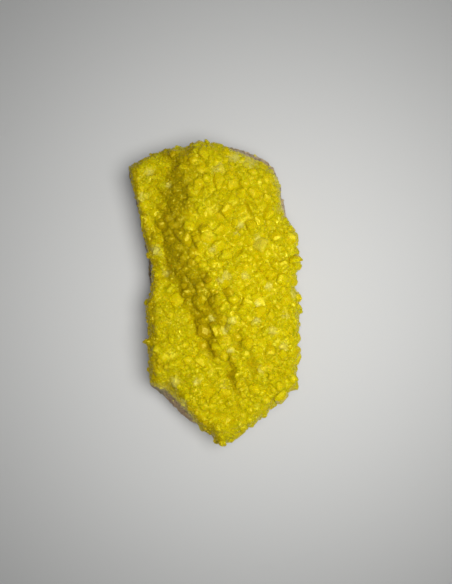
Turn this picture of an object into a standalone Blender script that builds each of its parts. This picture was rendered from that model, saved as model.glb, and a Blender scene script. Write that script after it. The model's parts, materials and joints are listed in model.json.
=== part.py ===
"""A native sulfur specimen: a druse of intergrown sulfur crystals on a slab of its host rock.

The slab lies on its flat underside, +Z up, long side along Y. Two solids are built: the host rock,
and the one crust of crystals that grew on its upper side and laps over parts of its edge.
"""

import math
import random

import bmesh
import bpy
from mathutils import Euler, Matrix, Vector, noise
from mathutils.bvhtree import BVHTree

MM = 0.001

# Driving dimensions, in millimetres.
# The plan outline of the whole specimen, counter-clockwise from its right-hand side.
OUTLINE = [
    (56.5, 0), (53.0, 7), (56.5, 20), (54.5, 36), (53.5, 47), (49.3, 55), (45.5, 65), (45.5, 76),
    (40.5, 85), (32.0, 91.5), (23.0, 96), (12.0, 98.5), (0.0, 98.5), (-9.5, 100.5), (-17.0, 97),
    (-25.0, 97.5), (-34.0, 95), (-45.0, 92.5), (-58.0, 88), (-56.0, 75), (-52.0, 62), (-48.5, 42),
    (-44.5, 24), (-45.5, 15), (-42.5, 4), (-46.0, -9), (-43.8, -24), (-43.5, -48), (-43.5, -61.5),
    (-34.0, -69), (-25.5, -77), (-16.0, -85.5), (-7.0, -92), (-0.5, -95), (1.0, -98.5), (7.5, -100),
    (15.5, -95), (28.5, -86), (37.5, -77), (40.0, -72), (46.0, -69), (56.5, -61), (54.0, -53),
    (56.5, -42), (56.0, -25), (58.0, -9),
]
REST_HEIGHT = 36.0  # druse surface above the resting face, along the floor of the trough
CRUST_THICKNESS = 6.0  # from the rock's bed to the druse surface, without the crystals
GAP = 0.3  # kept between the crust and the rock

# The trough that runs down the druse, as (x, y) from its head to its foot.
TROUGH = [
    (-28, 98), (-31, 85), (-34, 74), (-36, 61), (-37, 45), (-36, 28), (-31, 15), (-22, 2),
    (-15, -16), (-11, -34), (-6, -54),
]
FLANK_WIDTH, FLANK_RISE = 34.0, 13.0  # the flank on the trough's right, steep at its foot
FLANK_SHARE = [(-52, 0.0), (-6, 1.0), (72, 1.0), (100, 0.5)]  # share of the flank's rise by y
TERRACE_WIDTH, TERRACE_RISE = 13.0, 4.5  # the low terrace on the trough's left
PLAIN_RISE = 7.5  # rise above the trough's floor where there is no flank
EAST_FALL = 0.13  # slope of the druse from the ridge down to its right-hand edge
SOUTH_FALL, SOUTH_START = 0.16, -40.0  # slope towards the pointed end, and where it starts

# Swells (rise > 0) and hollows (rise < 0) of the druse: x, y, radius, rise.
SWELLS = [
    (-7, -26, 10, -3.5), (9, -56, 10, -3.0), (-1, -63, 7, -2.0), (-29, -36, 14, 2.0),
    (27, 69, 17, 1.8), (38, -30, 15, 2.2), (-12, -72, 12, 2.0), (50, -1, 8, -2.2),
    (32, -8, 10, -1.6), (47, -47, 9, -1.8), (2, 68, 9, -1.0), (22, -80, 8, -1.6), (33, 40, 12, 1.5),
    (-46, 62, 8, 1.5), (-36, 10, 7, -1.5), (-49, 80, 8, 1.6), (14, 18, 14, 1.4),
]

# How far each edge stands back from the outline, as (direction in degrees, millimetres).
CRUST_SETBACK = [
    (0, 1.0), (39, 1.0), (46, 4.6), (57, 4.0), (66, 5.2), (74, 6.6), (82, 4.2), (88, 1.4),
    (110, 1.0), (118, 3.4), (124, 5.0), (135, 3.6), (150, 3.0), (160, 4.8), (172, 2.4), (200, 1.4),
    (228, 2.0), (236, 4.0), (246, 7.0), (255, 7.4), (262, 4.0), (268, 1.0), (360, 1.0),
]
ROCK_SETBACK = [
    (0, 4.2), (38, 4.2), (46, 0.4), (84, 0.4), (92, 3.4), (110, 3.4), (117, 0.6), (182, 0.6),
    (192, 2.0), (225, 2.0), (234, 0.4), (261, 0.4), (270, 4.2), (360, 4.2),
]

# The rock, ring by ring from the middle of its bed to the middle of its underside:
# share of the reach, share of the bed's height.
ROCK_PROFILE = [
    (0, 1), (0.30, 1), (0.58, 1), (0.80, 1), (0.92, 0.98), (1.0, 0.80), (1.0, 0.58), (0.97, 0.36),
    (0.92, 0.14), (0.86, 0), (0, 0),
]
# The form that trims the crust, from above its middle to its root inside the rock:
# share of the reach, millimetres below the druse surface.
TRIM_PROFILE = [
    (0, -8), (0.40, -8), (0.84, -7), (0.93, -1.0), (0.975, 1.5), (1.0, 6.0), (0.98, 11.0),
    (0.60, 14.0), (0, 14.0),
]
ROOT_LEVEL = 16.0  # depth of the crust's carpet before it is trimmed
RIM_ROUGHNESS, RIM_GRAIN = 2.0, 5.0  # depth and width of the rim's lumps
ROCK_ROUGHNESS, ROCK_GRAIN = 2.6, 11.0  # depth and width of the broken rock's lumps
BED_SHARE = 0.9  # share of the rock's reach where its bed ends and its broken side starts
LUMP_RISE = 0.6  # how far a lump also moves up or down, as a share of its depth

# The carpet of small blunt crystals between the larger ones, one crystal to a cell.
CELL = 6.7
CARPET_SPAN = (214.0, 244.0)
CARPET_TURN = Matrix.Rotation(math.radians(33), 2)
CELL_JITTER = 0.24  # how far a cell's corner strays, as a share of the cell
JOINED_CELLS = 0.5  # share of the cells that try to join a neighbour, which makes larger crystals
BLUNT_HEIGHT = (1.2, 3.6)
BLUNT_TOP = (0.26, 0.60)  # size of a blunt crystal's top face, as a share of its cell
MOST_GROWTH = 1.4  # most that a joined cell's crystal is taller than a single cell's
PITS, PIT_DEPTH = 0.12, 0.3  # share of the cells that sink instead, and how deep they sink

# Fracture planes that break the rock's side and lower edge: direction in degrees, how far the
# plane stands inside the outline's furthest point that way at the resting face, and the angle
# below the horizon that it faces.
FRACTURES = [
    (8, 15, 48), (37, 13, 58), (63, 22, 42), (97, 20, 50), (126, 19, 46), (158, 14, 58),
    (196, 14, 47), (231, 18, 42), (262, 25, 38), (293, 19, 50), (325, 15, 45),
    (22, 9.5, 16), (50, 10, 22), (80, 10, 17), (112, 11, 14), (142, 10, 20), (176, 8.5, 13),
    (212, 9, 18), (246, 9.5, 15), (279, 12, 24), (311, 9, 17), (348, 9.5, 19),
]

# Sulfur's dipyramid: half-axes a, b and c in shares of b.
AXES = Vector((0.81, 1.0, 1.9))
# Habits: height of the flat top, and height where the shallow pyramid starts if there is one,
# both as shares of the half-axis c.
HABITS = [(0.50, 0.36), (0.42, None), (0.60, 0.40), (0.55, None), (0.34, 0.26)]
SHALLOW_SLOPE = math.radians(38)
ROOT_DEPTH = 0.32  # where a crystal's root is cut off, as a share of the half-axis c

# Large single crystals: x, y, half-length.
LARGE_CRYSTALS = [
    (-24, -4, 6.4), (-19, 6, 4.6), (-8, 6, 4.2), (0.5, 13, 4.4), (-14, 20, 4.4), (-28, -13, 4.0),
    (11.5, -16.5, 4.2), (4, 79, 4.6), (19, 78, 4.8), (2.5, 87, 4.8), (28, 12, 4.2), (23, 22, 4.4),
    (39.5, 19, 4.8), (44, 2, 4.6), (21, -2, 4.6), (36.5, -14, 4.4), (16, -44, 4.4), (28, -53, 4.6),
    (31, -64, 4.6), (19, -65, 4.4), (23, -82, 4.2), (52, -55, 5.0), (53, 20.5, 5.0), (-16, -42, 5.0),
    (-31, -40, 5.0), (6.5, -40, 4.8), (-1, -72, 4.6), (-26, 44, 4.4), (-38.5, 62, 4.6),
    (-38.5, 50, 4.4), (-26, 91, 4.2), (-46, 80, 4.2), (9, 52, 4.6), (34, 62, 4.4),
]
CRYSTAL_HALF_LENGTH = (3.0, 4.2)
CRYSTAL_SPACING = 11.0
MOST_CRYSTALS = 66
PLAN_HALF = (60.0, 102.0)  # half-spans of the box that the crystals are scattered in
PLACING_TRIES = 20000
PLACING_REACH = 0.985  # how far out their middles may stand, as a share of the crust's reach
LEAST_OVERLAP = 1.5  # least distance of a crystal's middle beyond a neighbour's half-length
# Crystals round the crust's edge: spacing, half-length, depth below the druse surface, and the
# setback past which the edge is thin and grows none.
EDGE_SPACING = 9.0
EDGE_HALF_LENGTH = (2.6, 3.6)
EDGE_DEPTH = (4.0, 7.0)
THIN_EDGE_SETBACK = 3.0
TILT = math.radians(24)
SINK = 0.24  # how deep a crystal's middle sits below the surface, as a share of its half-length
SEED = 7


def smooth(value):
    """A smooth step from 0 at 0 to 1 at 1."""
    share = min(1.0, max(0.0, value))
    return share * share * (3 - 2 * share)


def along(table, value):
    """Straight-line interpolation in a table of (key, value) pairs with rising keys."""
    for (low, first), (high, second) in zip(table, table[1:]):
        if value <= high:
            share = max(0.0, (value - low) / (high - low))
            return first + (second - first) * share
    return table[-1][1]


def outline_by_direction():
    """The outline as (direction in degrees, radius), closed over the full turn."""
    turned = sorted((math.degrees(math.atan2(y, x)) % 360, math.hypot(x, y)) for x, y in OUTLINE)
    last, first = turned[-1], turned[0]
    return [(last[0] - 360, last[1])] + turned + [(first[0] + 360, first[1])]


RADII = outline_by_direction()
TROUGH_BY_Y = sorted((y, x) for x, y in TROUGH)


def reach(angle, setback):
    """Distance from the middle to an edge that stands back from the outline."""
    degrees = math.degrees(angle) % 360
    return along(RADII, degrees) - along(setback, degrees)


def druse_height(x, y):
    """Height of the druse surface above the resting face, in millimetres."""
    across = x - along(TROUGH_BY_Y, y)
    flank = along(FLANK_SHARE, y)
    left_to_climb = 1 - min(1.0, max(0.0, across / FLANK_WIDTH))
    height = REST_HEIGHT + flank * FLANK_RISE * (1 - left_to_climb**2)
    height += flank * TERRACE_RISE * smooth(-across / TERRACE_WIDTH)
    height += (1 - flank) * PLAIN_RISE
    height -= EAST_FALL * max(0.0, across - FLANK_WIDTH)
    height -= SOUTH_FALL * max(0.0, SOUTH_START - y)
    for centre_x, centre_y, radius, rise in SWELLS:
        square = ((x - centre_x) ** 2 + (y - centre_y) ** 2) / radius**2
        height += rise * math.exp(-square)
    return height


def ringed_shape(profile, place):
    """A closed bmesh of rings: place(angle, share, level) gives each ring's points in mm.

    Each ring has a point in the direction of each point of the outline.
    """
    rings, segments = len(profile) - 1, len(OUTLINE)
    shape = bmesh.new()
    bmesh.ops.create_uvsphere(shape, u_segments=segments, v_segments=rings, radius=1)
    for vertex in shape.verts:
        polar = math.acos(max(-1.0, min(1.0, vertex.co.z)))
        share, level = profile[round(polar / math.pi * rings)]
        turn = math.atan2(vertex.co.y, vertex.co.x) / (2 * math.pi)
        angle = math.radians(RADII[1 + round(turn * segments) % segments][0])
        vertex.co = place(angle, share, level) * MM
    return shape


def rock_point(angle, share, level):
    """A point of the rock: its bed follows the druse, its broken side is lumpy."""
    radius = reach(angle, ROCK_SETBACK) * share
    x, y = radius * math.cos(angle), radius * math.sin(angle)
    bed = druse_height(x, y) - CRUST_THICKNESS
    point = Vector((x, y, bed * level))
    if share > BED_SHARE and level > 0:
        lump = noise.noise(point / ROCK_GRAIN) * ROCK_ROUGHNESS
        point -= Vector((math.cos(angle), math.sin(angle), 0)) * abs(lump)
        point.z += LUMP_RISE * lump * level
    return point


def trim_point(angle, share, level):
    """A point of the form that trims the crust, lumpy round its rim."""
    outward = Vector((math.cos(angle), math.sin(angle), 0))
    point = outward * reach(angle, CRUST_SETBACK) * share
    if level > 0:
        point -= outward * abs(noise.noise((point + Vector((0, 0, level))) / RIM_GRAIN)) * RIM_ROUGHNESS
    point.z = druse_height(point.x, point.y) - level
    return point


def cut(shape, point, normal):
    """Cuts off what lies on the normal's side of a plane and closes the cut."""
    parts = shape.verts[:] + shape.edges[:] + shape.faces[:]
    made = bmesh.ops.bisect_plane(
        shape, geom=parts, plane_co=point, plane_no=normal, clear_outer=True
    )
    edges = [part for part in made["geom_cut"] if isinstance(part, bmesh.types.BMEdge)]
    if edges:
        bmesh.ops.edgeloop_fill(shape, edges=edges)


def fracture(shape):
    """Breaks the rock's side and lower edge along its fracture planes."""
    for degrees, setback, below in FRACTURES:
        angle, slope = math.radians(degrees), math.radians(below)
        outward = Vector((math.cos(angle), math.sin(angle), 0))
        furthest = max(outward.xy.dot(point) for point in map(Vector, OUTLINE))
        normal = outward * math.cos(slope) - Vector((0, 0, math.sin(slope)))
        cut(shape, outward * (furthest - setback) * MM, normal)


def crystal_template(flat_top, shoulder):
    """One sulfur dipyramid of half-axis b = 1: steep faces, a flat top, a shallow pyramid."""
    shape = bmesh.new()
    bmesh.ops.create_uvsphere(shape, u_segments=4, v_segments=2, radius=1)
    bmesh.ops.scale(shape, vec=AXES, verts=shape.verts)
    cut(shape, Vector((0, 0, -ROOT_DEPTH * AXES.z)), Vector((0, 0, -1)))
    for side_x, side_y in ((-1, -1), (-1, 1), (1, -1), (1, 1)) if shoulder else ():
        outward = Vector((AXES.y * side_x, AXES.x * side_y, 0)).normalized()
        face_reach = AXES.x * AXES.y / math.hypot(AXES.x, AXES.y)
        point = outward * face_reach * (1 - shoulder) + Vector((0, 0, shoulder * AXES.z))
        slope = outward * math.sin(SHALLOW_SLOPE) + Vector((0, 0, math.cos(SHALLOW_SLOPE)))
        cut(shape, point, slope)
    cut(shape, Vector((0, 0, flat_top * AXES.z)), Vector((0, 0, 1)))
    return shape


def scattered(rng):
    """Plan places (x, y, half-length) of the crystals, the large ones first."""
    placed = list(LARGE_CRYSTALS)
    for _ in range(PLACING_TRIES):
        if len(placed) >= MOST_CRYSTALS:
            break
        x, y = (rng.uniform(-half, half) for half in PLAN_HALF)
        if math.hypot(x, y) > reach(math.atan2(y, x), CRUST_SETBACK) * PLACING_REACH:
            continue
        half = rng.uniform(*CRYSTAL_HALF_LENGTH)
        spacing = CRYSTAL_SPACING + half - CRYSTAL_HALF_LENGTH[0]
        if all(math.hypot(x - u, y - v) > max(spacing, size + LEAST_OVERLAP) for u, v, size in placed):
            placed.append((x, y, half))
    return placed


def edge_seats(surface, rng):
    """Seats round the crust's edge, where the crystals point outwards and up."""
    seats = []
    degrees = 0.0
    while degrees < 360:
        angle = math.radians(degrees)
        radius = reach(angle, CRUST_SETBACK)
        outward = Vector((math.cos(angle), math.sin(angle), 0))
        half = rng.uniform(*EDGE_HALF_LENGTH)
        height = druse_height(*(outward * radius).to_2d()) - rng.uniform(*EDGE_DEPTH)
        start = outward * 2 * radius + Vector((0, 0, height))
        place, normal, _, _ = surface.ray_cast(start * MM, -outward)
        if place and along(CRUST_SETBACK, degrees) < THIN_EDGE_SETBACK:
            seats.append((place, (normal + Vector((0, 0, 0.5))).normalized(), half))
        degrees += math.degrees(EDGE_SPACING / radius)
    return seats


def crystal_seats(carpet, trim, rng):
    """Where each crystal stands: place, direction of its c axis, half-length."""
    surface = BVHTree.FromBMesh(carpet)
    seats = []
    for x, y, half in scattered(rng):
        above = Vector((x, y, 2 * REST_HEIGHT)) * MM
        place, normal, _, _ = surface.ray_cast(above, Vector((0, 0, -1)))
        if place:
            seats.append((place, normal, half))
    return seats + edge_seats(BVHTree.FromBMesh(trim), rng)


def carpet_slab(rng):
    """The druse surface as a slab of irregular cells, without its crystals."""
    shape = bmesh.new()
    columns, rows = (round(span / CELL) for span in CARPET_SPAN)
    bmesh.ops.create_grid(shape, x_segments=columns, y_segments=rows, size=0.5)
    for vertex in shape.verts:
        stray = Vector((rng.uniform(-1, 1), rng.uniform(-1, 1))) * CELL * CELL_JITTER
        spread = Vector((vertex.co.x * CARPET_SPAN[0], vertex.co.y * CARPET_SPAN[1]))
        x, y = CARPET_TURN @ (spread + stray)
        vertex.co = Vector((x, y, druse_height(x, y))) * MM
    walls, joined = [], set()
    for cell in shape.faces:
        wall = rng.choice(cell.edges)
        pair = set(wall.link_faces)
        if rng.random() < JOINED_CELLS and len(pair) == 2 and not pair & joined:
            walls.append(wall)
            joined |= pair
    bmesh.ops.dissolve_edges(shape, edges=walls, use_verts=False)
    grown = bmesh.ops.extrude_face_region(shape, geom=shape.faces[:], use_keep_orig=True)
    lower = [part for part in grown["geom"] if isinstance(part, bmesh.types.BMVert)]
    bmesh.ops.translate(shape, vec=Vector((0, 0, -ROOT_LEVEL * MM)), verts=lower)
    bmesh.ops.recalc_face_normals(shape, faces=shape.faces)
    return shape


def grow_blunt_crystals(carpet, rng):
    """Raises one blunt crystal from each cell of the carpet's upper side."""
    cells = [face for face in carpet.faces if face.normal.z > 0.2]
    grown = bmesh.ops.extrude_discrete_faces(carpet, faces=cells)["faces"]
    for top in grown:
        size = math.sqrt(top.calc_area()) / (CELL * MM)
        height = rng.uniform(*BLUNT_HEIGHT) * min(size, MOST_GROWTH) * MM
        if rng.random() < PITS:
            height *= -PIT_DEPTH
        middle, up = top.calc_center_median(), top.normal.copy()
        lean = Euler((rng.uniform(-TILT, TILT), rng.uniform(-TILT, TILT), 0)).to_matrix()
        share = rng.uniform(*BLUNT_TOP)
        for vertex in top.verts:
            vertex.co = middle + lean @ ((vertex.co - middle) * share) + up * height


def grown_crystals(seats, rng):
    """A collection of the crystals, each a helper standing in its seat."""
    crystals = helpers_named("crystals")
    templates = [mesh_of("crystal", crystal_template(*habit)) for habit in HABITS]
    for place, normal, half in seats:
        lean = Euler((rng.uniform(-TILT, TILT), rng.uniform(-TILT, TILT), 0)).to_matrix()
        stand = normal.to_track_quat("Z", "Y").to_matrix() @ lean
        spin = Matrix.Rotation(rng.uniform(0, 2 * math.pi), 3, "Z")
        width, height = half * rng.uniform(0.85, 1.15), half * rng.uniform(0.75, 1.0)
        crystal = helper("crystal", rng.choice(templates), crystals)
        crystal.matrix_world = Matrix.LocRotScale(
            place - normal * half * SINK * MM, stand @ spin, Vector((width, half, height)) * MM
        )
    return crystals


def mesh_of(name, shape):
    bmesh.ops.recalc_face_normals(shape, faces=shape.faces)
    mesh = bpy.data.meshes.new(name)
    shape.to_mesh(mesh)
    shape.free()
    return mesh


def node(name, shape, finish):
    """Links the bmesh as one of the specimen's solids."""
    mesh = mesh_of(name, shape)
    mesh.materials.append(finish)
    obj = bpy.data.objects.new(name, mesh)
    bpy.context.scene.collection.objects.link(obj)
    return obj


def helpers_named(name):
    collection = bpy.data.collections.new(name)
    collection.hide_render = True
    bpy.context.scene.collection.children.link(collection)
    return collection


def helper(name, mesh, collection):
    """Links the mesh as a tool for a Boolean, which isn't rendered."""
    obj = bpy.data.objects.new(name, mesh)
    collection.objects.link(obj)
    obj.hide_render = True
    obj.display_type = "WIRE"
    return obj


def single_helper(name, shape):
    """A collection with one helper."""
    collection = helpers_named(name)
    helper(name, mesh_of(name, shape), collection)
    return collection


def boolean(obj, operation, helpers):
    """A Boolean modifier on obj with every helper of a collection.

    The solver is MANIFOLD: EXACT leaves open edges where this many crystals cross.
    """
    modifier = obj.modifiers.new(f"{operation.title()} {helpers.name}", "BOOLEAN")
    modifier.operation = operation
    modifier.solver = "MANIFOLD"
    modifier.operand_type = "COLLECTION"
    modifier.collection = helpers


def apply_without_crumbs(obj):
    """Applies the modifiers and keeps only the largest body, without crumbs that the cuts left."""
    shape = bmesh.new()
    shape.from_object(obj, bpy.context.evaluated_depsgraph_get())
    bmesh.ops.triangulate(shape, faces=shape.faces)
    bodies, unseen = [], set(shape.faces)
    while unseen:
        body, front = set(), [unseen.pop()]
        while front:
            face = front.pop()
            body.add(face)
            walls = [edge for edge in face.edges if len(edge.link_faces) == 2]
            joined = {other for edge in walls for other in edge.link_faces} & unseen
            unseen -= joined
            front.extend(joined)
        bodies.append(body)
    bodies.sort(key=len)
    crumbs = [face for body in bodies[:-1] for face in body]
    bmesh.ops.delete(shape, geom=crumbs, context="FACES")
    obj.modifiers.clear()
    shape.to_mesh(obj.data)
    shape.free()


def material(name, colour, roughness):
    made = bpy.data.materials.new(name)
    made.use_nodes = True
    shader = made.node_tree.nodes["Principled BSDF"]
    shader.inputs["Base Color"].default_value = (*colour, 1)
    shader.inputs["Roughness"].default_value = roughness
    shader.inputs["Metallic"].default_value = 0
    return made


def rock_shape():
    shape = ringed_shape(ROCK_PROFILE, rock_point)
    bmesh.ops.triangulate(shape, faces=shape.faces)
    bmesh.ops.recalc_face_normals(shape, faces=shape.faces)
    return shape


def make_rock():
    shape = rock_shape()
    fracture(shape)
    bmesh.ops.dissolve_limit(
        shape, angle_limit=math.radians(0.5), verts=shape.verts, edges=shape.edges
    )
    return node("host_rock", shape, material("host_rock", (0.33, 0.27, 0.22), 0.9))


def bed_shape():
    """The rock grown by the gap, which parts the crust from the rock."""
    shape = rock_shape()
    for vertex, normal in [(vertex, vertex.normal.copy()) for vertex in shape.verts]:
        vertex.co += normal * GAP * MM
    return shape


def make_crust():
    rng = random.Random(SEED)
    carpet, trim = carpet_slab(rng), ringed_shape(TRIM_PROFILE, trim_point)
    seats = crystal_seats(carpet, trim, rng)
    grow_blunt_crystals(carpet, rng)
    crust = node("sulfur_crust", carpet, material("sulfur", (0.78, 0.66, 0.02), 0.25))
    boolean(crust, "INTERSECT", single_helper("trim", trim))
    boolean(crust, "UNION", grown_crystals(seats, rng))
    boolean(crust, "DIFFERENCE", single_helper("bed", bed_shape()))
    apply_without_crumbs(crust)
    return crust


def stand_on_origin(objects):
    """Moves everything so that the specimen's box stands on the origin, centred."""
    graph = bpy.context.evaluated_depsgraph_get()
    corners = [
        obj.matrix_world @ Vector(corner)
        for obj in objects
        for corner in obj.evaluated_get(graph).bound_box
    ]
    middle_x = (min(c.x for c in corners) + max(c.x for c in corners)) / 2
    middle_y = (min(c.y for c in corners) + max(c.y for c in corners)) / 2
    for obj in bpy.data.objects:
        obj.location -= Vector((middle_x, middle_y, 0))


def main():
    for obj in list(bpy.data.objects):
        bpy.data.objects.remove(obj)
    stand_on_origin([make_rock(), make_crust()])


main()
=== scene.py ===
"""Looks of the native sulfur specimen: its broken host rock and its druse of sulfur crystals.

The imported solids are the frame. Crystals of six sizes stand on a worn skin of the solid crust,
small ones are scattered over the rock beside it, and the rock is carved from the solid rock.
"""

import itertools
import json
import math
import random
from bisect import bisect_left
from typing import NamedTuple

import bmesh
import bpy
from mathutils import Euler, Matrix, Vector, noise
from mathutils.bvhtree import BVHTree
from mathutils.kdtree import KDTree

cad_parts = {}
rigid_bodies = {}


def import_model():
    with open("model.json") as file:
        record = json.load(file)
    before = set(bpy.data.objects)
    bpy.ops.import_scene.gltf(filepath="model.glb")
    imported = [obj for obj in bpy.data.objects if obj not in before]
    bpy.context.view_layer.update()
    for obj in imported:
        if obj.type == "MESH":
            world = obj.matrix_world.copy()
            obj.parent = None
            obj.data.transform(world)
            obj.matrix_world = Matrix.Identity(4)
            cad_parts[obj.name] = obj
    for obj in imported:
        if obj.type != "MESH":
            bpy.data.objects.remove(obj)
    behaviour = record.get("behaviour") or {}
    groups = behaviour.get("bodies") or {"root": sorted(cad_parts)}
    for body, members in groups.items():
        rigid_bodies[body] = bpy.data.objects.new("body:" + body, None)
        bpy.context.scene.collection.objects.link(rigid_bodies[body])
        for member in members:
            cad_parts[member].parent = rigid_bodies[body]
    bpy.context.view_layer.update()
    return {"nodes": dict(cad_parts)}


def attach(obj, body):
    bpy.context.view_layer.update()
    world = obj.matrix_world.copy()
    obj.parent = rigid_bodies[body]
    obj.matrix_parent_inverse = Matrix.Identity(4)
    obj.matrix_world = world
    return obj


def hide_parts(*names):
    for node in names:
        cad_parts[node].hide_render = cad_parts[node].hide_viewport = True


MM = 0.001
MERGED = 0.005  # mm, corners of a CAD node that are nearer than this are one
UP = Vector((0, 0, 1))

# ---------------------------------------------------------------- measures

# Camera: straight above, aimed a little to the right of the specimen. In metres.
AIM = Vector((7.3, 1.3, 45)) * MM
CAMERA_HEIGHT = 0.42
FRAME_HEIGHT = 0.372  # what the frame's long side takes in at the druse's height
NEAREST_SEEN = 0.01
FLOOR_REACH = 3

# Sulfur's dipyramid: half-axes a, b and c in shares of b, and how deep its root reaches.
AXES = Vector((0.81, 1.0, 1.9))
ROOT_DEPTH = 0.08
SHALLOW_SLOPE = math.radians(34)
CORNER_SLOPE = 0.3  # how far a corner's cut faces upwards
ROOT_FACES, TOP_FACES = -0.9, 0.95  # normal's z below and above which a face is root or flat top
# Habits: flat top, shoulder of the shallow pyramid, and how far the corners on b and on a
# are cut, as shares of the half-axis that they cut. A share of 1 or more cuts nothing.
HABITS = [
    (0.27, 0.16, 0.76, 0.84),
    (0.23, 0.12, 0.70, 0.94),
    (0.31, 0.20, 0.80, 0.78),
    (0.25, 0.10, 0.84, 0.82),
    (0.36, 0.24, 0.74, 0.86),
]
TOP_PAINTED_LIGHT, SIDE_PAINTED_LIGHT, EDGE_PAINTED_LIGHT = 0.0, 0.7, 1.0  # painted light on a crystal's top, sides and edges: sides and edges are lightened against their shade
WIDTH_SHARES, HEIGHT_SHARES = (0.85, 1.15), (0.50, 0.75)  # of the habit's width and height


class Size(NamedTuple):
    """One size of crystal, and how closely and how steeply its crystals stand."""

    name: str
    lean: float  # degrees from the surface's normal
    sink: tuple  # range of depth below the surface, in half-lengths
    rounding: float = 0.0  # width of the rounded edges, in half-lengths
    steps: int = 0  # faces across a rounded edge
    half: tuple = ()  # half-length range, in mm
    most: int = 0  # most crystals of this size
    spacing: float = 0.0  # least distance, as a share of the two half-lengths
    zones: tuple = ()  # coarseness range where this size grows, 0 fine to 1 coarse
    halved: bool = False  # too many faces for one piece, so a far and a near piece share them


GREAT = Size("crystals_great", lean=18, sink=(0.0, 0.15), rounding=0.08, steps=2)
SIZES = [
    Size("crystals_broad", lean=26, sink=(0.18, 0.38), rounding=0.05, steps=1,
         half=(4.2, 8.5), most=420, spacing=0.50, zones=(0.4, 1.0)),
    Size("crystals_large", lean=34, sink=(0.12, 0.40), rounding=0.06, steps=1,
         half=(2.5, 4.2), most=620, spacing=0.46, zones=(0.15, 1.0)),
    Size("crystals_medium", lean=42, sink=(0.08, 0.42), rounding=0.07, steps=1,
         half=(1.5, 2.5), most=2100, spacing=0.44, zones=(0.0, 0.85), halved=True),
    Size("crystals_small", lean=50, sink=(0.0, 0.34),
         half=(0.9, 1.6), most=5200, spacing=0.46, zones=(0.0, 0.75)),
    Size("crystals_fine", lean=60, sink=(-0.1, 0.30),
         half=(0.4, 0.8), most=9000, spacing=0.48, zones=(0.0, 0.8), halved=True),
]
DUSTING = Size("crystals_dusting", lean=50, sink=(0.0, 0.4),
               half=(0.5, 1.5), most=1500, spacing=0.55)

# How crystals are seated.
SEED = 11
LOWEST_SEAT, LOWEST_DUSTING = -0.15, 0.2  # normal's z below which no crystal is seated
UPWARD_PULL, GREAT_UPWARD_PULL = 0.5, 0.6  # how much crystals turn upwards from the normal
CRUST_TRIES, ROCK_TRIES = 8, 12  # most places tried for each crystal
HIGH_ABOVE = 100  # mm, higher than the specimen
ZONE_SLACK = 0.15  # how far past its zones a size may stray
NEIGHBOUR_CELL = 7.5  # mm, the boxes that neighbours are looked up in
DUSTING_REACH = 9.0  # mm, how far from the crust the rock carries scattered crystals
PALE_HALF = 2.0  # mm, half-length past which a crystal in a pale cluster is less pale
PALE_SHARES, STONE_SHARES = (0.5, 1.0), (0.2, 1.0)  # how unevenly crystals take those looks

# The crust that the crystals stand on.
BED_GRAIN = 0.9  # mm, voxels that wear the crust's edges round
BED_WEAR, LEVEL_WEAR, SLOPE_WEAR = 3, 25, 60  # smoothing steps
# The bed's painted light, which lightens the gaps between the crystals against their shade, and its
# tint.
BED_PAINTED_LIGHT, BED_TINT = 1.0, 0.6
LEVEL_SHADE, SHADE_PER_MM = 0.30, 0.35  # painted shade on the general level, and more for each mm below it
FLANK_SHADE_START, FLANK_SHADE_SPAN = 0.12, 0.25  # how far a slope faces left, away from the light, where the flank's painted shade begins

# Where the crystals grew coarse: most of all round a middle, and in zones of a noise.
COARSE_X, COARSE_Y = (22.0, 38.0), (12.0, 78.0)  # mm, middle and reach
COARSE_MOST, COARSE_FALL = 1.15, 0.62  # at the middle, and less for each reach away
ZONE, ZONE_SWING = 26.0, 0.9  # mm, size of the zones, and how much they change
FINER_AT_RIM, FINER_IN_CLUSTER, FINER_ON_FLANK = 0.8, 0.5, 0.45

# The broken edge, where the crust thins out over the bare rock.
RIM_REACH = 9.0  # mm, how far from the bare rock the crystals are small and pale
STONE_REACH = 6.5  # mm, how far from the bare rock it shows through the thin crust
THINNING, THINNING_REACH = 3.5, 5.5  # mm, how much the crust thins out there and how far in
RIM_FULL = 0.15  # share of these reaches that is at full strength
SPOT_END, SPOT_FADE = 1.6, 2  # reaches at which a spot of the edge ends, and its steepness
SEEN_FROM_ABOVE = 0.1  # normal's z past which the rock counts as seen from above
# Painted shade darkens the edge on the upper left, the side that the light reaches least. Past a
# slanting line, in mm, it turns pale.
PAINTED_SHADE_SLANT, PAINTED_SHADE_START, PAINTED_SHADE_FADE = 0.4, -36, 12

# The clusters of small pale crystals.
CLUSTER_END = 1.3  # reaches at which a cluster ends
CLUSTER_GRAIN, CLUSTER_SWING = 1.6, 0.8  # mm, size of the noise that breaks it up, and its share

# The rock, in mm.
ROCK_GRAIN = 1.0  # voxels
CARVED_OFF = 0.5  # off the solid rock all over
MOST_OUTWARDS = 0.9  # the most that a lump stands out past the solid rock
LUMPS, KNOBS, GRIT = (9, 0.9), (3.5, 0.8), (1.4, 0.5)  # size and depth
DUST_REACH, DUST_FALL = 14, 1.5  # of sulfur dust on the rock, and how steeply it thins out

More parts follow.
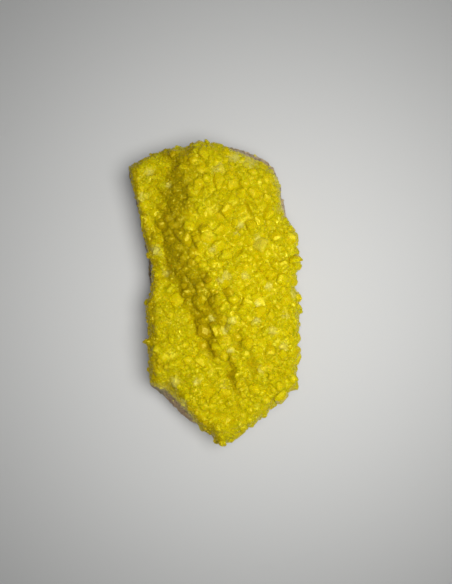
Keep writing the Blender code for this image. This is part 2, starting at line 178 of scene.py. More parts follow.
# The crystals that stand out: place in mm from above, half-length and turn in degrees.
GREAT_CRYSTALS = [
    (-24.7, -3.8, 7.6, 30), (-19.6, 5.8, 4.2, 100), (-6.8, 11.5, 3.3, 20), (-8.7, 5.8, 3.6, 130),
    (-0.1, 12.8, 3.8, 60), (7.3, 11.5, 2.5, 10), (-1.0, 2.6, 3.1, 150), (1.5, -3.8, 3.1, 80),
    (-28.5, -13.4, 3.4, 40), (-10.0, -18.9, 3.2, 170), (10.8, -16.6, 3.4, 75),
    (7.3, -5.7, 2.8, 25), (-31.7, 17.3, 2.6, 60), (-22.8, 16.7, 2.5, 145), (-14.5, 19.9, 4.2, 15),
    (-7.4, 18.6, 4.2, 95), (3.5, 78.7, 4.0, 85), (18.2, 78.0, 4.2, 35), (1.0, 83.5, 4.4, 5),
    (32.3, 64.7, 2.6, 100), (26.9, 58.3, 2.4, 50), (38.0, 42.9, 2.3, 120), (44.8, 42.9, 2.5, 75),
    (28.0, 12.2, 3.2, 20), (18.8, 11.3, 2.7, 110), (22.3, 21.9, 3.6, 65), (39.0, 19.0, 4.6, 140),
    (43.5, 1.9, 4.3, 30), (36.0, -14.0, 3.5, 90), (26.8, -16.4, 2.5, 160), (36.0, -22.6, 2.8, 15),
    (28.8, 19.2, 3.7, 135), (20.7, -2.2, 4.2, 55), (17.8, -10.3, 4.2, 100), (15.7, -44.0, 3.8, 5),
    (27.7, -52.6, 3.8, 70), (4.1, -50.9, 3.1, 125), (30.3, -63.7, 4.2, 35), (18.7, -65.0, 3.8, 80),
    (8.8, -76.1, 2.8, 150), (22.5, -81.7, 3.5, 20), (44.9, -44.4, 2.6, 100), (38.9, -48.3, 2.4, 60),
    (51.0, -55.1, 4.0, 10), (-18.0, -47.0, 2.4, 130), (-11.1, -49.1, 3.0, 45),
    (-12.0, -35.8, 3.0, 95), (-8.1, -68.8, 3.1, 5), (-16.7, -42.2, 4.8, 160), (-32.1, -40.1, 4.8, 75),
    (6.0, -39.7, 4.5, 110), (-1.7, -72.3, 4.3, 30), (-26.9, 44.3, 3.6, 65), (-39.1, 61.8, 4.1, 120),
    (-47.0, 81.5, 2.8, 15), (-26.9, 90.0, 3.6, 85), (-6.5, 57.0, 2.4, 140), (-39.1, 52.5, 4.3, 50),
]
# Spots along the edge where the crust thins out over the rock: place in mm from above and reach.
THIN_EDGE = [
    (8, 94, 7), (18, 92, 9), (28, 88, 10), (37, 81, 10), (44, 72, 10), (48, 62, 9), (50, 52, 8),
    (-36, -59, 7), (-29, -67, 9), (-21, -76, 9), (-13, -83, 9), (-5, -89, 7),
    (-50, 57, 2), (-43, 17, 5), (-40, 10, 4),
]
# Clusters of small pale crystals: place in mm from above and reach.
PALE_CLUSTERS = [
    (2.2, 79.4, 3.2), (12.4, 87.1, 4.5), (22.0, 84.0, 4.0), (16.3, 43.5, 2.4), (14.3, 38.4, 1.9),
    (27.8, 34.6, 2.6), (7.3, 11.5, 2.6), (18.8, 11.5, 2.3), (4.1, 8.3, 2.0), (-5.5, 33.9, 1.8),
    (-37.5, 28.2, 3.0), (-1.3, 28.2, 2.0), (-31.1, 12.8, 2.4), (48.0, 66.0, 3.2), (40.0, 74.0, 3.4),
    (27.1, -7.0, 2.2), (11.1, -16.6, 2.4), (-1.7, -16.0, 2.2), (26.5, -16.6, 2.2), (6.7, -23.0, 2.4),
    (36.7, -23.0, 2.6), (50.8, 0.0, 2.4), (45.1, -14.1, 2.4), (34.2, 5.1, 2.2), (-26.0, -56.0, 3.0),
    (-20.0, -70.0, 2.6), (10.0, -36.0, 2.0), (-30.0, 70.0, 2.2), (44.0, -34.0, 2.4), (6.0, -62.0, 2.6),
    (-46.0, 62.0, 2.4), (-42.0, 78.0, 2.6), (30.0, -48.0, 2.2), (-12.0, -56.0, 2.2),
]


def unit(value):
    """Keeps a share within 0 and 1."""
    return min(1.0, max(0.0, value))


# ---------------------------------------------------------------- meshes


def mesh_object(name, shape, collection=None):
    """Links a bmesh as a new object at the origin."""
    mesh = bpy.data.meshes.new(name)
    shape.to_mesh(mesh)
    shape.free()
    piece = bpy.data.objects.new(name, mesh)
    (collection or bpy.context.scene.collection).objects.link(piece)
    return piece


def finished_mesh(piece):
    """The mesh that an object's modifiers make."""
    graph = bpy.context.evaluated_depsgraph_get()
    return bpy.data.meshes.new_from_object(piece.evaluated_get(graph), depsgraph=graph)


def smooth(shape, times):
    """Relaxes a bmesh in place."""
    for _ in range(times):
        bmesh.ops.smooth_vert(
            shape, verts=shape.verts, factor=0.5, use_axis_x=True, use_axis_y=True, use_axis_z=True
        )


def merged_copy(node):
    """A bmesh of a CAD node with its loose triangles merged."""
    shape = bmesh.new()
    shape.from_mesh(frame["nodes"][node].data)
    bmesh.ops.remove_doubles(shape, verts=shape.verts, dist=MERGED * MM)
    return shape


def even_skin(node, grain):
    """The outside of a CAD node as one even skin of small faces, its grain in mm."""
    solid = mesh_object("even_skin", merged_copy(node))
    remesh = solid.modifiers.new("even", "REMESH")
    remesh.mode = "VOXEL"
    remesh.voxel_size = grain * MM
    skin = bmesh.new()
    skin.from_mesh(finished_mesh(solid))
    bpy.data.objects.remove(solid)
    return skin


# ---------------------------------------------------------------- stage


def place_camera():
    data = bpy.data.cameras.new("camera")
    data.lens = data.sensor_width * CAMERA_HEIGHT / FRAME_HEIGHT
    data.clip_start = NEAREST_SEEN
    camera = bpy.data.objects.new("camera", data)
    camera.location = AIM + CAMERA_HEIGHT * UP
    bpy.context.scene.collection.objects.link(camera)
    bpy.context.scene.camera = camera


def soft_light(name, place, target, size, power, spread):
    """A round area light. Lengths are in metres, the power in watts and the spread in degrees."""
    data = bpy.data.lights.new(name, "AREA")
    data.shape = "DISK"
    data.size = size
    data.energy = power
    data.spread = math.radians(spread)
    light = bpy.data.objects.new(name, data)
    light.location = place
    light.rotation_euler = (Vector(target) - Vector(place)).to_track_quat("-Z", "Y").to_euler()
    bpy.context.scene.collection.objects.link(light)


def light_stage():
    """A softbox above the specimen, a weak light from its right and a dim room."""
    soft_light("softbox", place=(0.10, -0.01, 0.55), target=(0.025, -0.005, 0),
               size=0.30, power=0.65, spread=80)
    soft_light("side_fill", place=(0.7, 0.2, 0.35), target=(0, 0, 0.02),
               size=0.4, power=0.22, spread=180)
    room = bpy.data.worlds.new("room")
    room.use_nodes = True
    background = room.node_tree.nodes["Background"]
    background.inputs["Color"].default_value = (0.95, 0.97, 1, 1)
    background.inputs["Strength"].default_value = 0.13
    bpy.context.scene.world = room
    bpy.context.scene.view_settings.view_transform = "Standard"


def make_floor():
    """A sheet of light grey paper under the specimen."""
    shape = bmesh.new()
    bmesh.ops.create_grid(shape, x_segments=1, y_segments=1, size=FLOOR_REACH)
    floor = mesh_object("floor", shape)
    paper, _, shader = new_material("floor_paper")
    shader.inputs["Base Color"].default_value = (0.64, 0.64, 0.625, 1)
    shader.inputs["Roughness"].default_value = 0.8
    floor.data.materials.append(paper)


# ---------------------------------------------------------------- shader nodes

FLOAT, COLOUR, VECTOR = "NodeSocketFloat", "NodeSocketColor", "NodeSocketVector"


class Nodes:
    """Adds and links nodes in one tree."""

    def __init__(self, tree):
        self.tree = tree

    def add(self, kind, **settings):
        node = self.tree.nodes.new(kind)
        for name, value in settings.items():
            setattr(node, name, value)
        return node

    def put(self, value, socket):
        """Links a socket, or sets a plain value."""
        if isinstance(value, bpy.types.NodeSocket):
            self.tree.links.new(value, socket)
        else:
            socket.default_value = value

    def noise(self, where, scale, detail=3.0, roughness=0.55):
        node = self.add("ShaderNodeTexNoise")
        self.put(where, node.inputs["Vector"])
        self.put(scale, node.inputs["Scale"])
        self.put(detail, node.inputs["Detail"])
        self.put(roughness, node.inputs["Roughness"])
        return node.outputs["Fac"]

    def cells(self, where, scale, output):
        node = self.add("ShaderNodeTexVoronoi")
        self.put(where, node.inputs["Vector"])
        self.put(scale, node.inputs["Scale"])
        return node.outputs[output]

    def attribute(self, name):
        return self.add("ShaderNodeAttribute", attribute_name=name).outputs["Fac"]

    def math(self, operation, first, second=0.0):
        node = self.add("ShaderNodeMath", operation=operation)
        self.put(first, node.inputs[0])
        self.put(second, node.inputs[1])
        return node.outputs[0]

    def span(self, value, low, high, to_low=0.0, to_high=1.0):
        """Maps low..high of a value to to_low..to_high, smoothly and clamped."""
        node = self.add("ShaderNodeMapRange", interpolation_type="SMOOTHSTEP")
        for number, item in enumerate((value, low, high, to_low, to_high)):
            self.put(item, node.inputs[number])
        return node.outputs[0]

    def mix(self, share, first, second):
        """Mixes two colours. The Mix node's colour sockets are its inputs 6 and 7 and output 2."""
        node = self.add("ShaderNodeMix", data_type="RGBA")
        self.put(share, node.inputs[0])
        self.put(first, node.inputs[6])
        self.put(second, node.inputs[7])
        return node.outputs[2]

    def bump(self, height, strength, distance):
        node = self.add("ShaderNodeBump")
        self.put(strength, node.inputs["Strength"])
        self.put(distance, node.inputs["Distance"])
        self.put(height, node.inputs["Height"])
        return node.outputs["Normal"]

    def placed(self, group, values):
        """Places a shared group with its own values, and gives its outputs."""
        node = self.add("ShaderNodeGroup", node_tree=bpy.data.node_groups[group])
        for label, value in values.items():
            self.put(value, node.inputs[label])
        return node.outputs

    def mottled(self, ground, spots, where, low, high, most, scale, detail, roughness=0.55):
        """A ground colour with spots of another, and the noise that placed them."""
        outputs = self.placed("mottle", {
            "Where": where, "Scale": scale, "Detail": detail, "Roughness": roughness,
            "Low": low, "High": high, "Most": most, "Ground": ground, "Spots": spots,
        })
        return outputs["Colour"], outputs["Noise"]

    def ragged(self, share, where, low, high, scale, detail, roughness=0.55):
        """A share with its edge broken up."""
        return self.placed("ragged_edge", {
            "Where": where, "Scale": scale, "Detail": detail, "Roughness": roughness,
            "Low": low, "High": high, "Share": share,
        })["Mask"]


def shared_group(name, inputs, outputs):
    """A new shader node group: its nodes, what it is given and what it puts out."""
    tree = bpy.data.node_groups.new(name, "ShaderNodeTree")
    for label, kind in inputs.items():
        tree.interface.new_socket(label, in_out="INPUT", socket_type=kind)
    for label, kind in outputs.items():
        tree.interface.new_socket(label, in_out="OUTPUT", socket_type=kind)
    nodes = Nodes(tree)
    return nodes, nodes.add("NodeGroupInput").outputs, nodes.add("NodeGroupOutput").inputs


NOISE_INPUTS = {
    "Where": VECTOR, "Scale": FLOAT, "Detail": FLOAT, "Roughness": FLOAT, "Low": FLOAT, "High": FLOAT,
}


def noise_of(nodes, given):
    """The noise that a shared group's inputs ask for."""
    return nodes.noise(given["Where"], given["Scale"], given["Detail"], given["Roughness"])


def make_mottle():
    """The shared group that colours a ground with spots where a noise runs high."""
    nodes, given, result = shared_group(
        "mottle",
        {**NOISE_INPUTS, "Most": FLOAT, "Ground": COLOUR, "Spots": COLOUR},
        {"Colour": COLOUR, "Noise": FLOAT},
    )
    height = noise_of(nodes, given)
    share = nodes.span(height, given["Low"], given["High"], 0.0, given["Most"])
    nodes.put(nodes.mix(share, given["Ground"], given["Spots"]), result["Colour"])
    nodes.put(height, result["Noise"])


def make_ragged_edge():
    """The shared group that breaks up the edge of what covers only a share of the surface."""
    nodes, given, result = shared_group(
        "ragged_edge", {**NOISE_INPUTS, "Share": FLOAT}, {"Mask": FLOAT}
    )
    covered = nodes.math("ADD", given["Share"], noise_of(nodes, given))
    nodes.put(nodes.span(covered, given["Low"], given["High"]), result["Mask"])


# ---------------------------------------------------------------- materials


def colour(red, green, blue):
    """A linear colour from the 0 to 255 values that the eye sees."""
    def linear(value):
        value /= 255
        return value / 12.92 if value <= 0.04045 else ((value + 0.055) / 1.055) ** 2.4
    return (linear(red), linear(green), linear(blue), 1.0)


def new_material(name):
    """A new material, its nodes and its shader."""
    material = bpy.data.materials.new(name)
    material.use_nodes = True
    return material, Nodes(material.node_tree), material.node_tree.nodes["Principled BSDF"]


def sulfur_material():
    """Translucent yellow crystal, cloudy inside, with painted light on its sides and edges, painted
    shade in the recesses and on the left flank, and painted highlights.
    """
    material, nodes, shader = new_material("sulfur")
    where = nodes.add("ShaderNodeTexCoord").outputs["Object"]
    pale = nodes.attribute("pale")

    # Each crystal's own yellow, and blocks and zones of a brighter one.
    yellow = nodes.mix(nodes.attribute("tint"), colour(216, 184, 0), colour(244, 217, 0))
    blocks = nodes.math("ADD", nodes.cells(where, 150, "Color"), nodes.cells(where, 430, "Color"))
    yellow = nodes.mix(nodes.span(blocks, 0.4, 1.6, 0, 0.6), yellow, colour(250, 233, 0))
    yellow, _ = nodes.mottled(yellow, colour(246, 226, 0), where, low=0.38, high=0.62, most=0.6,
                              scale=75, detail=3)
    # Clouds inside, painted shade in the recesses, painted light on the crystals' sides and edges, and
    # painted highlights along thin lines.
    yellow, clouds = nodes.mottled(yellow, colour(210, 184, 0), where, low=0.45, high=0.72, most=0.5,
                                   scale=380, detail=5, roughness=0.62)
    # Painted shade: darker yellow where a place lies down among its neighbours.
    painted_recess_shade = nodes.math("MULTIPLY", nodes.attribute("recess"), 0.35)
    yellow = nodes.mix(painted_recess_shade, yellow, colour(196, 167, 0))
    # Painted light: the crystals' sides and edges and the bed between them are lightened.
    rim = nodes.math("MULTIPLY", nodes.attribute("rim"), 0.75)
    yellow = nodes.mix(rim, yellow, colour(255, 231, 4))
    # Painted highlights: thin bright lines where a noise crosses its middle.
    painted_highlight_lines = nodes.math("ABSOLUTE", nodes.math("SUBTRACT", nodes.noise(where, 240, 3), 0.5))
    yellow = nodes.mix(nodes.span(painted_highlight_lines, 0.0, 0.016, 0.75, 0), yellow, colour(255, 238, 50))
    # Painted glints as a bright fine grain, and dark pits.
    yellow, _ = nodes.mottled(yellow, colour(255, 238, 16), where, low=0.50, high=0.64, most=0.9,
                              scale=1500, detail=2)
    yellow, _ = nodes.mottled(yellow, colour(146, 120, 0), where, low=0.63, high=0.72, most=0.6,
                              scale=620, detail=2)
    # The flank's painted shade, the pale rims and clusters, and rock that shows through the thin
    # crust.
    flank = nodes.math("MULTIPLY", nodes.attribute("flank"), 0.6)
    yellow = nodes.mix(flank, yellow, colour(178, 148, 0))
    yellow = nodes.mix(nodes.math("MULTIPLY", pale, 0.9), yellow, colour(255, 247, 118))
    stony = nodes.ragged(nodes.attribute("stone"), where, low=0.9, high=1.15, scale=260, detail=3)
    # The rock that shows through is dark where it isn't pale, as under the painted shade of the upper
    # left.
    stone = nodes.mix(pale, colour(104, 84, 56), colour(204, 182, 146))
    nodes.put(nodes.mix(stony, yellow, stone), shader.inputs["Base Color"])

    nodes.put(nodes.span(clouds, 0.3, 0.7, 0.12, 0.34), shader.inputs["Roughness"])
    etched = nodes.noise(where, 1900, 3)
    nodes.put(nodes.bump(etched, 0.5, 0.25 * MM), shader.inputs["Normal"])
    shader.inputs["IOR"].default_value = 1.6
    shader.inputs["Specular IOR Level"].default_value = 0.26
    shader.inputs["Specular Tint"].default_value = (1.0, 0.9, 0.12, 1)
    nodes.put(nodes.span(pale, 0.1, 0.5, 0.7, 0.1), shader.inputs["Subsurface Weight"])
    shader.inputs["Subsurface Radius"].default_value = (1.0, 0.85, 0.06)
    shader.inputs["Subsurface Scale"].default_value = 0.0024
    shader.inputs["Transmission Weight"].default_value = 0.4
    return material


def rock_material():
    """Broken host rock: brown and grey, granular, dusted with sulfur near the druse."""
    material, nodes, shader = new_material("host_rock")
    where = nodes.add("ShaderNodeTexCoord").outputs["Object"]

    # Brown and grey patches, darker where the weather hasn't bleached them.
    stone, _ = nodes.mottled(colour(164, 138, 104), colour(202, 184, 150), where,
                             low=0.38, high=0.62, most=1, scale=45, detail=5)
    stone, _ = nodes.mottled(stone, colour(150, 140, 104), where, low=0.5, high=0.68, most=1,
                             scale=90, detail=4)
    # Brown and grey patches, with painted shade darkening the upper left.
    stone = nodes.mix(nodes.attribute("weather"), colour(124, 102, 78), stone)
    # Dark grains, light specks and sulfur powder.
    stone, grains = nodes.mottled(stone, colour(84, 66, 50), where, low=0.45, high=0.7, most=0.7,
                                  scale=700, detail=4)
    specks = nodes.span(nodes.cells(where, 900, "Distance"), 0.0, 0.35, 0.3, 0)
    stone = nodes.mix(specks, stone, colour(206, 190, 164))
    powder = nodes.ragged(nodes.attribute("dust"), where, low=1.05, high=1.5,
                          scale=240, detail=5, roughness=0.7)
    nodes.put(nodes.mix(powder, stone, colour(210, 194, 120)), shader.inputs["Base Color"])

    shader.inputs["Roughness"].default_value = 0.92
    nodes.put(nodes.bump(grains, 0.6, 0.5 * MM), shader.inputs["Normal"])
    return material


# ---------------------------------------------------------------- crystals


def cut(shape, point, normal):
    """Cuts off what lies on the normal's side of a plane and closes the cut."""
    parts = shape.verts[:] + shape.edges[:] + shape.faces[:]
    made = bmesh.ops.bisect_plane(
        shape, geom=parts, plane_co=point, plane_no=normal, clear_outer=True
    )
    edges = [part for part in made["geom_cut"] if isinstance(part, bmesh.types.BMEdge)]
    if edges:
        bmesh.ops.edgeloop_fill(shape, edges=edges)


def crystal_habit(flat_top, shoulder, corner_b, corner_a, rounding, steps):
    """One blunt sulfur dipyramid of half-axis b = 1, its edges rounded off as etching does."""
    shape = bmesh.new()
    bmesh.ops.create_uvsphere(shape, u_segments=4, v_segments=2, radius=1)
    bmesh.ops.scale(shape, vec=AXES, verts=shape.verts)
    cut(shape, -ROOT_DEPTH * AXES.z * UP, -UP)
    face_reach = AXES.x * AXES.y / math.hypot(AXES.x, AXES.y)
    for side_x, side_y in ((-1, -1), (-1, 1), (1, -1), (1, 1)):
        outward = Vector((AXES.y * side_x, AXES.x * side_y, 0)).normalized()
        point = outward * face_reach * (1 - shoulder) + shoulder * AXES.z * UP
        slope = outward * math.sin(SHALLOW_SLOPE) + math.cos(SHALLOW_SLOPE) * UP
        cut(shape, point, slope)
    for axis, share in ((Vector((0, 1, 0)), corner_b), (Vector((AXES.x, 0, 0)), corner_a)):
        for side in (-1, 1) if share < 1 else ():
            cut(shape, side * share * axis, side * axis.normalized() + CORNER_SLOPE * UP)
    cut(shape, flat_top * AXES.z * UP, UP)
    root = [face for face in shape.faces if face.normal.z < ROOT_FACES]
    bmesh.ops.delete(shape, geom=root, context="FACES_ONLY")
    # Painted light: the sides and the rounded edges are lightened, the flat top is not.
    rim = shape.faces.layers.float.new("rim")
    for face in shape.faces:
        face[rim] = TOP_PAINTED_LIGHT if face.normal.z > TOP_FACES else SIDE_PAINTED_LIGHT
    if rounding:
        edges = [edge for edge in shape.edges if not edge.is_boundary]
        made = bmesh.ops.bevel(
            shape, geom=edges, offset=rounding, segments=steps, profile=0.5,
            affect="EDGES", material=-1, clamp_overlap=True,
        )
        for face in made["faces"]:
            face[rim] = EDGE_PAINTED_LIGHT
    return shape


class Seat(NamedTuple):
    """Where one crystal stands, and what its material reads there."""

    place: Vector
    turn: Euler
    stretch: Vector
    habit: int  # which of HABITS
    tint: float
    recess: float
    flank: float
    pale: float
    stone: float


# The kinds of the values that a seat's point carries. The material reads the second line's.
GROWING_VALUES = {"turn": "float_vector", "stretch": "float_vector", "habit": "int"}
LOOKS_VALUES = {label: "float" for label in ("tint", "recess", "flank", "pale", "stone")}


def seat_points(name, seats):
    """A mesh of one point for each seat, which carries the seat's values."""
    shape = bmesh.new()
    layers = {
        label: getattr(shape.verts.layers, kind).new(label)
        for label, kind in {**GROWING_VALUES, **LOOKS_VALUES}.items()
    }
    for seat in seats:
        point = shape.verts.new(seat.place)
        for label, layer in layers.items():
            point[layer] = getattr(seat, label)
    return mesh_object(name, shape)


def growing_tree(habits):
    """Geometry nodes that stand one habit on each seat and make the copies real."""
    tree = bpy.data.node_groups.new("grow_crystals", "GeometryNodeTree")
    tree.interface.new_socket("Geometry", in_out="INPUT", socket_type="NodeSocketGeometry")
    tree.interface.new_socket("Geometry", in_out="OUTPUT", socket_type="NodeSocketGeometry")
    nodes = Nodes(tree)

    def seat_value(name, kind):
        node = nodes.add("GeometryNodeInputNamedAttribute", data_type=kind)
        node.inputs["Name"].default_value = name
        return node.outputs["Attribute"]

    kinds = nodes.add("GeometryNodeCollectionInfo")
    kinds.inputs["Collection"].default_value = habits
    kinds.inputs["Separate Children"].default_value = True
    grow = nodes.add("GeometryNodeInstanceOnPoints")
    grow.inputs["Pick Instance"].default_value = True
    real = nodes.add("GeometryNodeRealizeInstances")
    nodes.put(nodes.add("NodeGroupInput").outputs[0], grow.inputs["Points"])
    nodes.put(kinds.outputs[0], grow.inputs["Instance"])
    nodes.put(seat_value("habit", "INT"), grow.inputs["Instance Index"])
    nodes.put(seat_value("turn", "FLOAT_VECTOR"), grow.inputs["Rotation"])
    nodes.put(seat_value("stretch", "FLOAT_VECTOR"), grow.inputs["Scale"])
    nodes.put(grow.outputs[0], real.inputs[0])
    nodes.put(real.outputs[0], nodes.add("NodeGroupOutput").inputs[0])
    return tree


def grown(name, size, seats, material):
    """One piece: crystals of a size, one on each seat."""
    habits = bpy.data.collections.new(name)
    bpy.context.scene.collection.children.link(habits)
    for number, habit in enumerate(HABITS):
        shape = crystal_habit(*habit, size.rounding, size.steps)
        mesh_object(f"{name}_habit_{number}", shape, habits)
    points = seat_points(name, seats)
    points.modifiers.new("grow", "NODES").node_group = growing_tree(habits)
    mesh = finished_mesh(points)
    for helper in [points, *habits.objects]:
        bpy.data.objects.remove(helper)
    bpy.data.collections.remove(habits)
    mesh.materials.clear()
    mesh.materials.append(material)
    for label in GROWING_VALUES:
        if label in mesh.attributes:
            mesh.attributes.remove(mesh.attributes[label])
    piece = bpy.data.objects.new(name, mesh)
    bpy.context.scene.collection.objects.link(piece)
    return piece


def grown_size(size, seats, material):
    """The pieces that a size's crystals make up."""
    if not size.halved:
        return [grown(size.name, size, seats, material)]
    far = [seat for seat in seats if seat.place.y > 0]
    near = [seat for seat in seats if seat.place.y <= 0]
    return [
        grown(f"{size.name}_far", size, far, material),
        grown(f"{size.name}_near", size, near, material),
    ]


# ---------------------------------------------------------------- druse


def nearest_of(spots, place):
    """The distance from above to the nearest of some spots, in shares of that spot's reach."""
    x, y = place.x / MM, place.y / MM
    return min(math.hypot(x - spot_x, y - spot_y) / reach for spot_x, spot_y, reach in spots)


def outside_painted_shade(place):
    """How far a place lies outside the painted shade of the broken edge: dark on the upper left, pale
    elsewhere.
    """
    across = (place.x - PAINTED_SHADE_SLANT * place.y) / MM
    return unit((across - PAINTED_SHADE_START) / PAINTED_SHADE_FADE)


def bare_rock_beside(surface):
    """Finds the nearest place where the rock isn't covered by the crust's surface."""
    rock = even_skin("host_rock", 2 * ROCK_GRAIN)
    places = [face.calc_center_median() for face in rock.faces if face.normal.z > SEEN_FROM_ABOVE]
    rock.free()
    bare = [place for place in places if surface.ray_cast(place, UP)[0] is None]
    tree = KDTree(len(bare))
    for number, place in enumerate(bare):
        tree.insert(place, number)
    tree.balance()
    return tree


class Neighbours:
    """Finds whether a new crystal crowds those already seated."""

    def __init__(self, cell):
        self.cell, self.seated = cell, {}

    def key(self, place):
        return tuple(math.floor(value / self.cell) for value in place)

    def crowded(self, place, half, share):
        nearby = itertools.product(*((step - 1, step, step + 1) for step in self.key(place)))
        return any(
            (other - place).length < share * (half + size)
            for key in nearby
            for other, size in self.seated.get(key, ())
        )

    def seat(self, place, half):
        self.seated.setdefault(self.key(place), []).append((place, half))


class Druse:
    """The crust as the ground that crystals are seated on: the solid's form with worn edges."""

    def __init__(self):
        self.shape = even_skin("sulfur_crust", BED_GRAIN)
        smooth(self.shape, BED_WEAR)
        bmesh.ops.triangulate(self.shape, faces=self.shape.faces)
        self.bare_rock = bare_rock_beside(BVHTree.FromBMesh(self.shape))
        self.thin_out()
        self.surface = BVHTree.FromBMesh(self.shape)
        broad = self.shape.copy()
        smooth(broad, LEVEL_WEAR)
        self.level = BVHTree.FromBMesh(broad)
        smooth(broad, SLOPE_WEAR)
        self.slope = BVHTree.FromBMesh(broad)
        broad.free()
        self.neighbours = Neighbours(NEIGHBOUR_CELL * MM)

    def thin_out(self):
        """Lowers the upward faces of the crust towards the bare rock."""
        for vertex in self.shape.verts:
            upward = max(0.0, vertex.normal.z)
            vertex.co.z -= upward * self.near_rim(vertex.co, THINNING_REACH) * THINNING * MM

    def recess(self, place):
        """The painted shade of a place that lies down among its neighbours, from 0 on the crests to 1.
        """
        near, normal, _, _ = self.level.find_nearest(place)
        return unit(LEVEL_SHADE + (near - place).dot(normal) / MM * SHADE_PER_MM)

    def coarseness(self, place):
        """How coarse the crystals grew at a place, from 0, fine, to 1."""
        (middle_x, reach_x), (middle_y, reach_y) = COARSE_X, COARSE_Y
        away = math.hypot((place.x / MM - middle_x) / reach_x, (place.y / MM - middle_y) / reach_y)
        coarse = COARSE_MOST - COARSE_FALL * away + ZONE_SWING * noise.noise(place / (ZONE * MM))
        coarse -= FINER_AT_RIM * self.near_rim(place)
        coarse -= FINER_IN_CLUSTER * self.cluster(place)
        coarse -= FINER_ON_FLANK * self.flank(place)
        return unit(coarse)

    def near_rim(self, place, reach=RIM_REACH):
        """How near a place is to the bare rock where the crust thins out, from 0 to 1."""
        along_edge = unit(SPOT_FADE * (SPOT_END - nearest_of(THIN_EDGE, place)))
        if not along_edge:
            return 0.0
        _, _, away = self.bare_rock.find(place)
        return along_edge * unit(1 + RIM_FULL - away / (reach * MM))

    def stone(self, place):
        """How far the rock shows through the crust at a place."""
        return self.near_rim(place, STONE_REACH)

    def cluster(self, place):
        """How far a place belongs to a cluster of small pale crystals, from 0 to 1."""
        broken = noise.noise(place / (CLUSTER_GRAIN * MM)) * CLUSTER_SWING
        return unit(CLUSTER_END - nearest_of(PALE_CLUSTERS, place) + broken)

    def pale(self, place):
        """How pale the crystals are: near the bare rock outside the painted shade of the upper left,
        and in small clusters.
        """
        return max(self.near_rim(place) * outside_painted_shade(place), self.cluster(place))

    def flank(self, place):
        """How far a place belongs to the flank that falls away to the left, away from the light: it
        gets painted shade.
        """
        _, normal, _, _ = self.slope.find_nearest(place)
        return unit((-normal.x - FLANK_SHADE_START) / FLANK_SHADE_SPAN)


def surface_points(shape, count, rng):
    """Random points spread evenly over a bmesh's upper faces, as (place, normal)."""
    faces = [face for face in shape.faces if face.normal.z > LOWEST_SEAT]
    areas = list(itertools.accumulate(face.calc_area() for face in faces))
    for _ in range(count):
        face = faces[bisect_left(areas, rng.random() * areas[-1])]
        first, second = rng.random(), rng.random()
        if first + second > 1:
            first, second = 1 - first, 1 - second
        a, b, c = (vertex.co for vertex in face.verts)
        yield a + (b - a) * first + (c - a) * second, face.normal.copy()


def seat_on(druse, place, normal, half, turn, size, rng):
    """A seat for one crystal: its axis near the surface's normal, its root below the surface."""
    upward = (normal + UPWARD_PULL * UP).normalized()
    lean_way = Vector((rng.gauss(0, 1), rng.gauss(0, 1), rng.gauss(0, 1))).normalized()
    axis = upward.lerp(lean_way, rng.random() * size.lean / 90).normalized()
    spin = Matrix.Rotation(turn, 3, "Z")
    width = half * rng.uniform(*WIDTH_SHARES)
    height = half * rng.uniform(*HEIGHT_SHARES)
    less_pale = min(1.0, PALE_HALF * MM / half)
    return Seat(
        place=place - axis * half * rng.uniform(*size.sink),
        turn=(axis.to_track_quat("Z", "Y").to_matrix() @ spin).to_euler(),
        stretch=Vector((width, half, height)),
        habit=rng.randrange(len(HABITS)),
        tint=rng.random(),
        recess=druse.recess(place),
        flank=druse.flank(place),
        pale=druse.pale(place) * less_pale * rng.uniform(*PALE_SHARES),
        stone=druse.stone(place) * rng.uniform(*STONE_SHARES),
    )


def great_seats(druse, rng):
    """Seats of the crystals that stand out, on the druse's general level."""
    seats = []
    for x, y, half, turn in GREAT_CRYSTALS:
        above = Vector((x, y, HIGH_ABOVE)) * MM
        place, normal, _, _ = druse.level.ray_cast(above, -UP)
        druse.neighbours.seat(place, half * MM)
        normal = normal.lerp(UP, GREAT_UPWARD_PULL)
        seats.append(seat_on(druse, place, normal, half * MM, math.radians(turn), GREAT, rng))
    return seats


def scattered_seats(druse, size, ground, tries, suits, rng):
    """Seats of one size at random places of the ground that suit it, where there is room."""
    seats = []
    for place, normal in surface_points(ground, size.most * tries, rng):
        if len(seats) >= size.most:
            break
        if not suits(place, normal):
            continue
        half = rng.uniform(*size.half) * MM
        if druse.neighbours.crowded(place, half, size.spacing):
            continue
        druse.neighbours.seat(place, half)
        seats.append(seat_on(druse, place, normal, half, rng.uniform(0, 2 * math.pi), size, rng))
    return seats


def crust_seats(druse, size, rng):
    """Seats of one size on the crust, away from the ground that this size leaves bare."""
    low, high = size.zones

    def suits(place, normal):
        coarse = druse.coarseness(place)
        return low - rng.random() * ZONE_SLACK <= coarse <= high + rng.random() * ZONE_SLACK

    return scattered_seats(druse, size, druse.shape, CRUST_TRIES, suits, rng)


def dusting_seats(druse, rng):
    """Seats of the scattered crystals on the rock round the crust, thinning outwards."""
    def suits(place, normal):
        _, _, _, away = druse.surface.find_nearest(place)
        return normal.z >= LOWEST_DUSTING and away <= rng.random() * DUSTING_REACH * MM

    rock = merged_copy("host_rock")
    seats = scattered_seats(druse, DUSTING, rock, ROCK_TRIES, suits, rng)
    rock.free()
    return seats


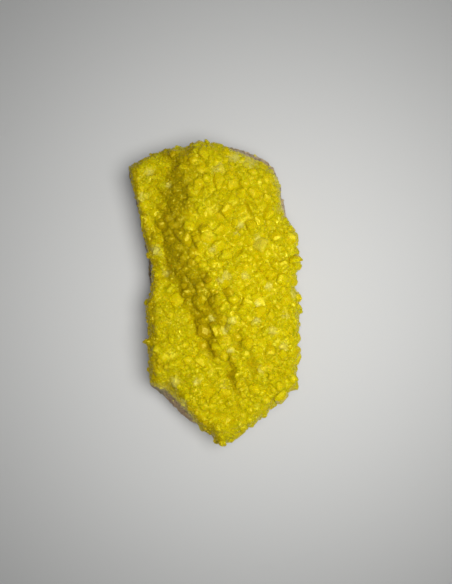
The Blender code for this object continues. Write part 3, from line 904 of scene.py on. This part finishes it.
def crust_bed(druse, material):
    """The worn crust itself, which shows between the crystals."""
    values = {
        "recess": druse.recess,
        "pale": druse.pale,
        "flank": druse.flank,
        "stone": druse.stone,
        # Painted light: the bed between the crystals is lightened in full.
        "rim": lambda place: BED_PAINTED_LIGHT,
        "tint": lambda place: BED_TINT,
    }
    for label, value_at in values.items():
        layer = druse.shape.verts.layers.float.new(label)
        for vertex in druse.shape.verts:
            vertex[layer] = value_at(vertex.co)
    bed = mesh_object("crust_bed", druse.shape)
    bed.data.materials.append(material)
    return bed


def dress_crust(material):
    """Seats crystals of every size on the crust, the larger ones first."""
    rng = random.Random(SEED)
    druse = Druse()
    pieces = grown_size(GREAT, great_seats(druse, rng), material)
    for size in SIZES:
        pieces += grown_size(size, crust_seats(druse, size, rng), material)
    pieces += grown_size(DUSTING, dusting_seats(druse, rng), material)
    bed = crust_bed(druse, material)
    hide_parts("sulfur_crust")
    for piece in pieces + [bed]:
        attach(piece, "root")


# ---------------------------------------------------------------- rock


def carve_rock(material):
    """The rock, broken and granular, carved into the solid rock's surface."""
    shape = even_skin("host_rock", ROCK_GRAIN)
    for vertex in shape.verts:
        depth = CARVED_OFF
        for size, most in (LUMPS, KNOBS, GRIT):
            depth += noise.noise(vertex.co / MM / size) * most
        vertex.co -= vertex.normal * max(-MOST_OUTWARDS, depth) * MM
        vertex.co.z = max(0.0, vertex.co.z)
    crust_shape = merged_copy("sulfur_crust")
    crust = BVHTree.FromBMesh(crust_shape)
    crust_shape.free()
    dust = shape.verts.layers.float.new("dust")
    weather = shape.verts.layers.float.new("weather")
    for vertex in shape.verts:
        _, _, _, away = crust.find_nearest(vertex.co)
        # The painted shade of the upper left: darker rock, and no sulfur dust there.
        vertex[weather] = outside_painted_shade(vertex.co)
        near = max(0.0, 1 - away / (DUST_REACH * MM))
        vertex[dust] = near ** DUST_FALL * vertex[weather]
    rock = mesh_object("rock", shape)
    rock.data.materials.append(material)
    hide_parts("host_rock")
    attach(rock, "root")


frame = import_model()
place_camera()
light_stage()
make_floor()
make_mottle()
make_ragged_edge()
dress_crust(sulfur_material())
carve_rock(rock_material())
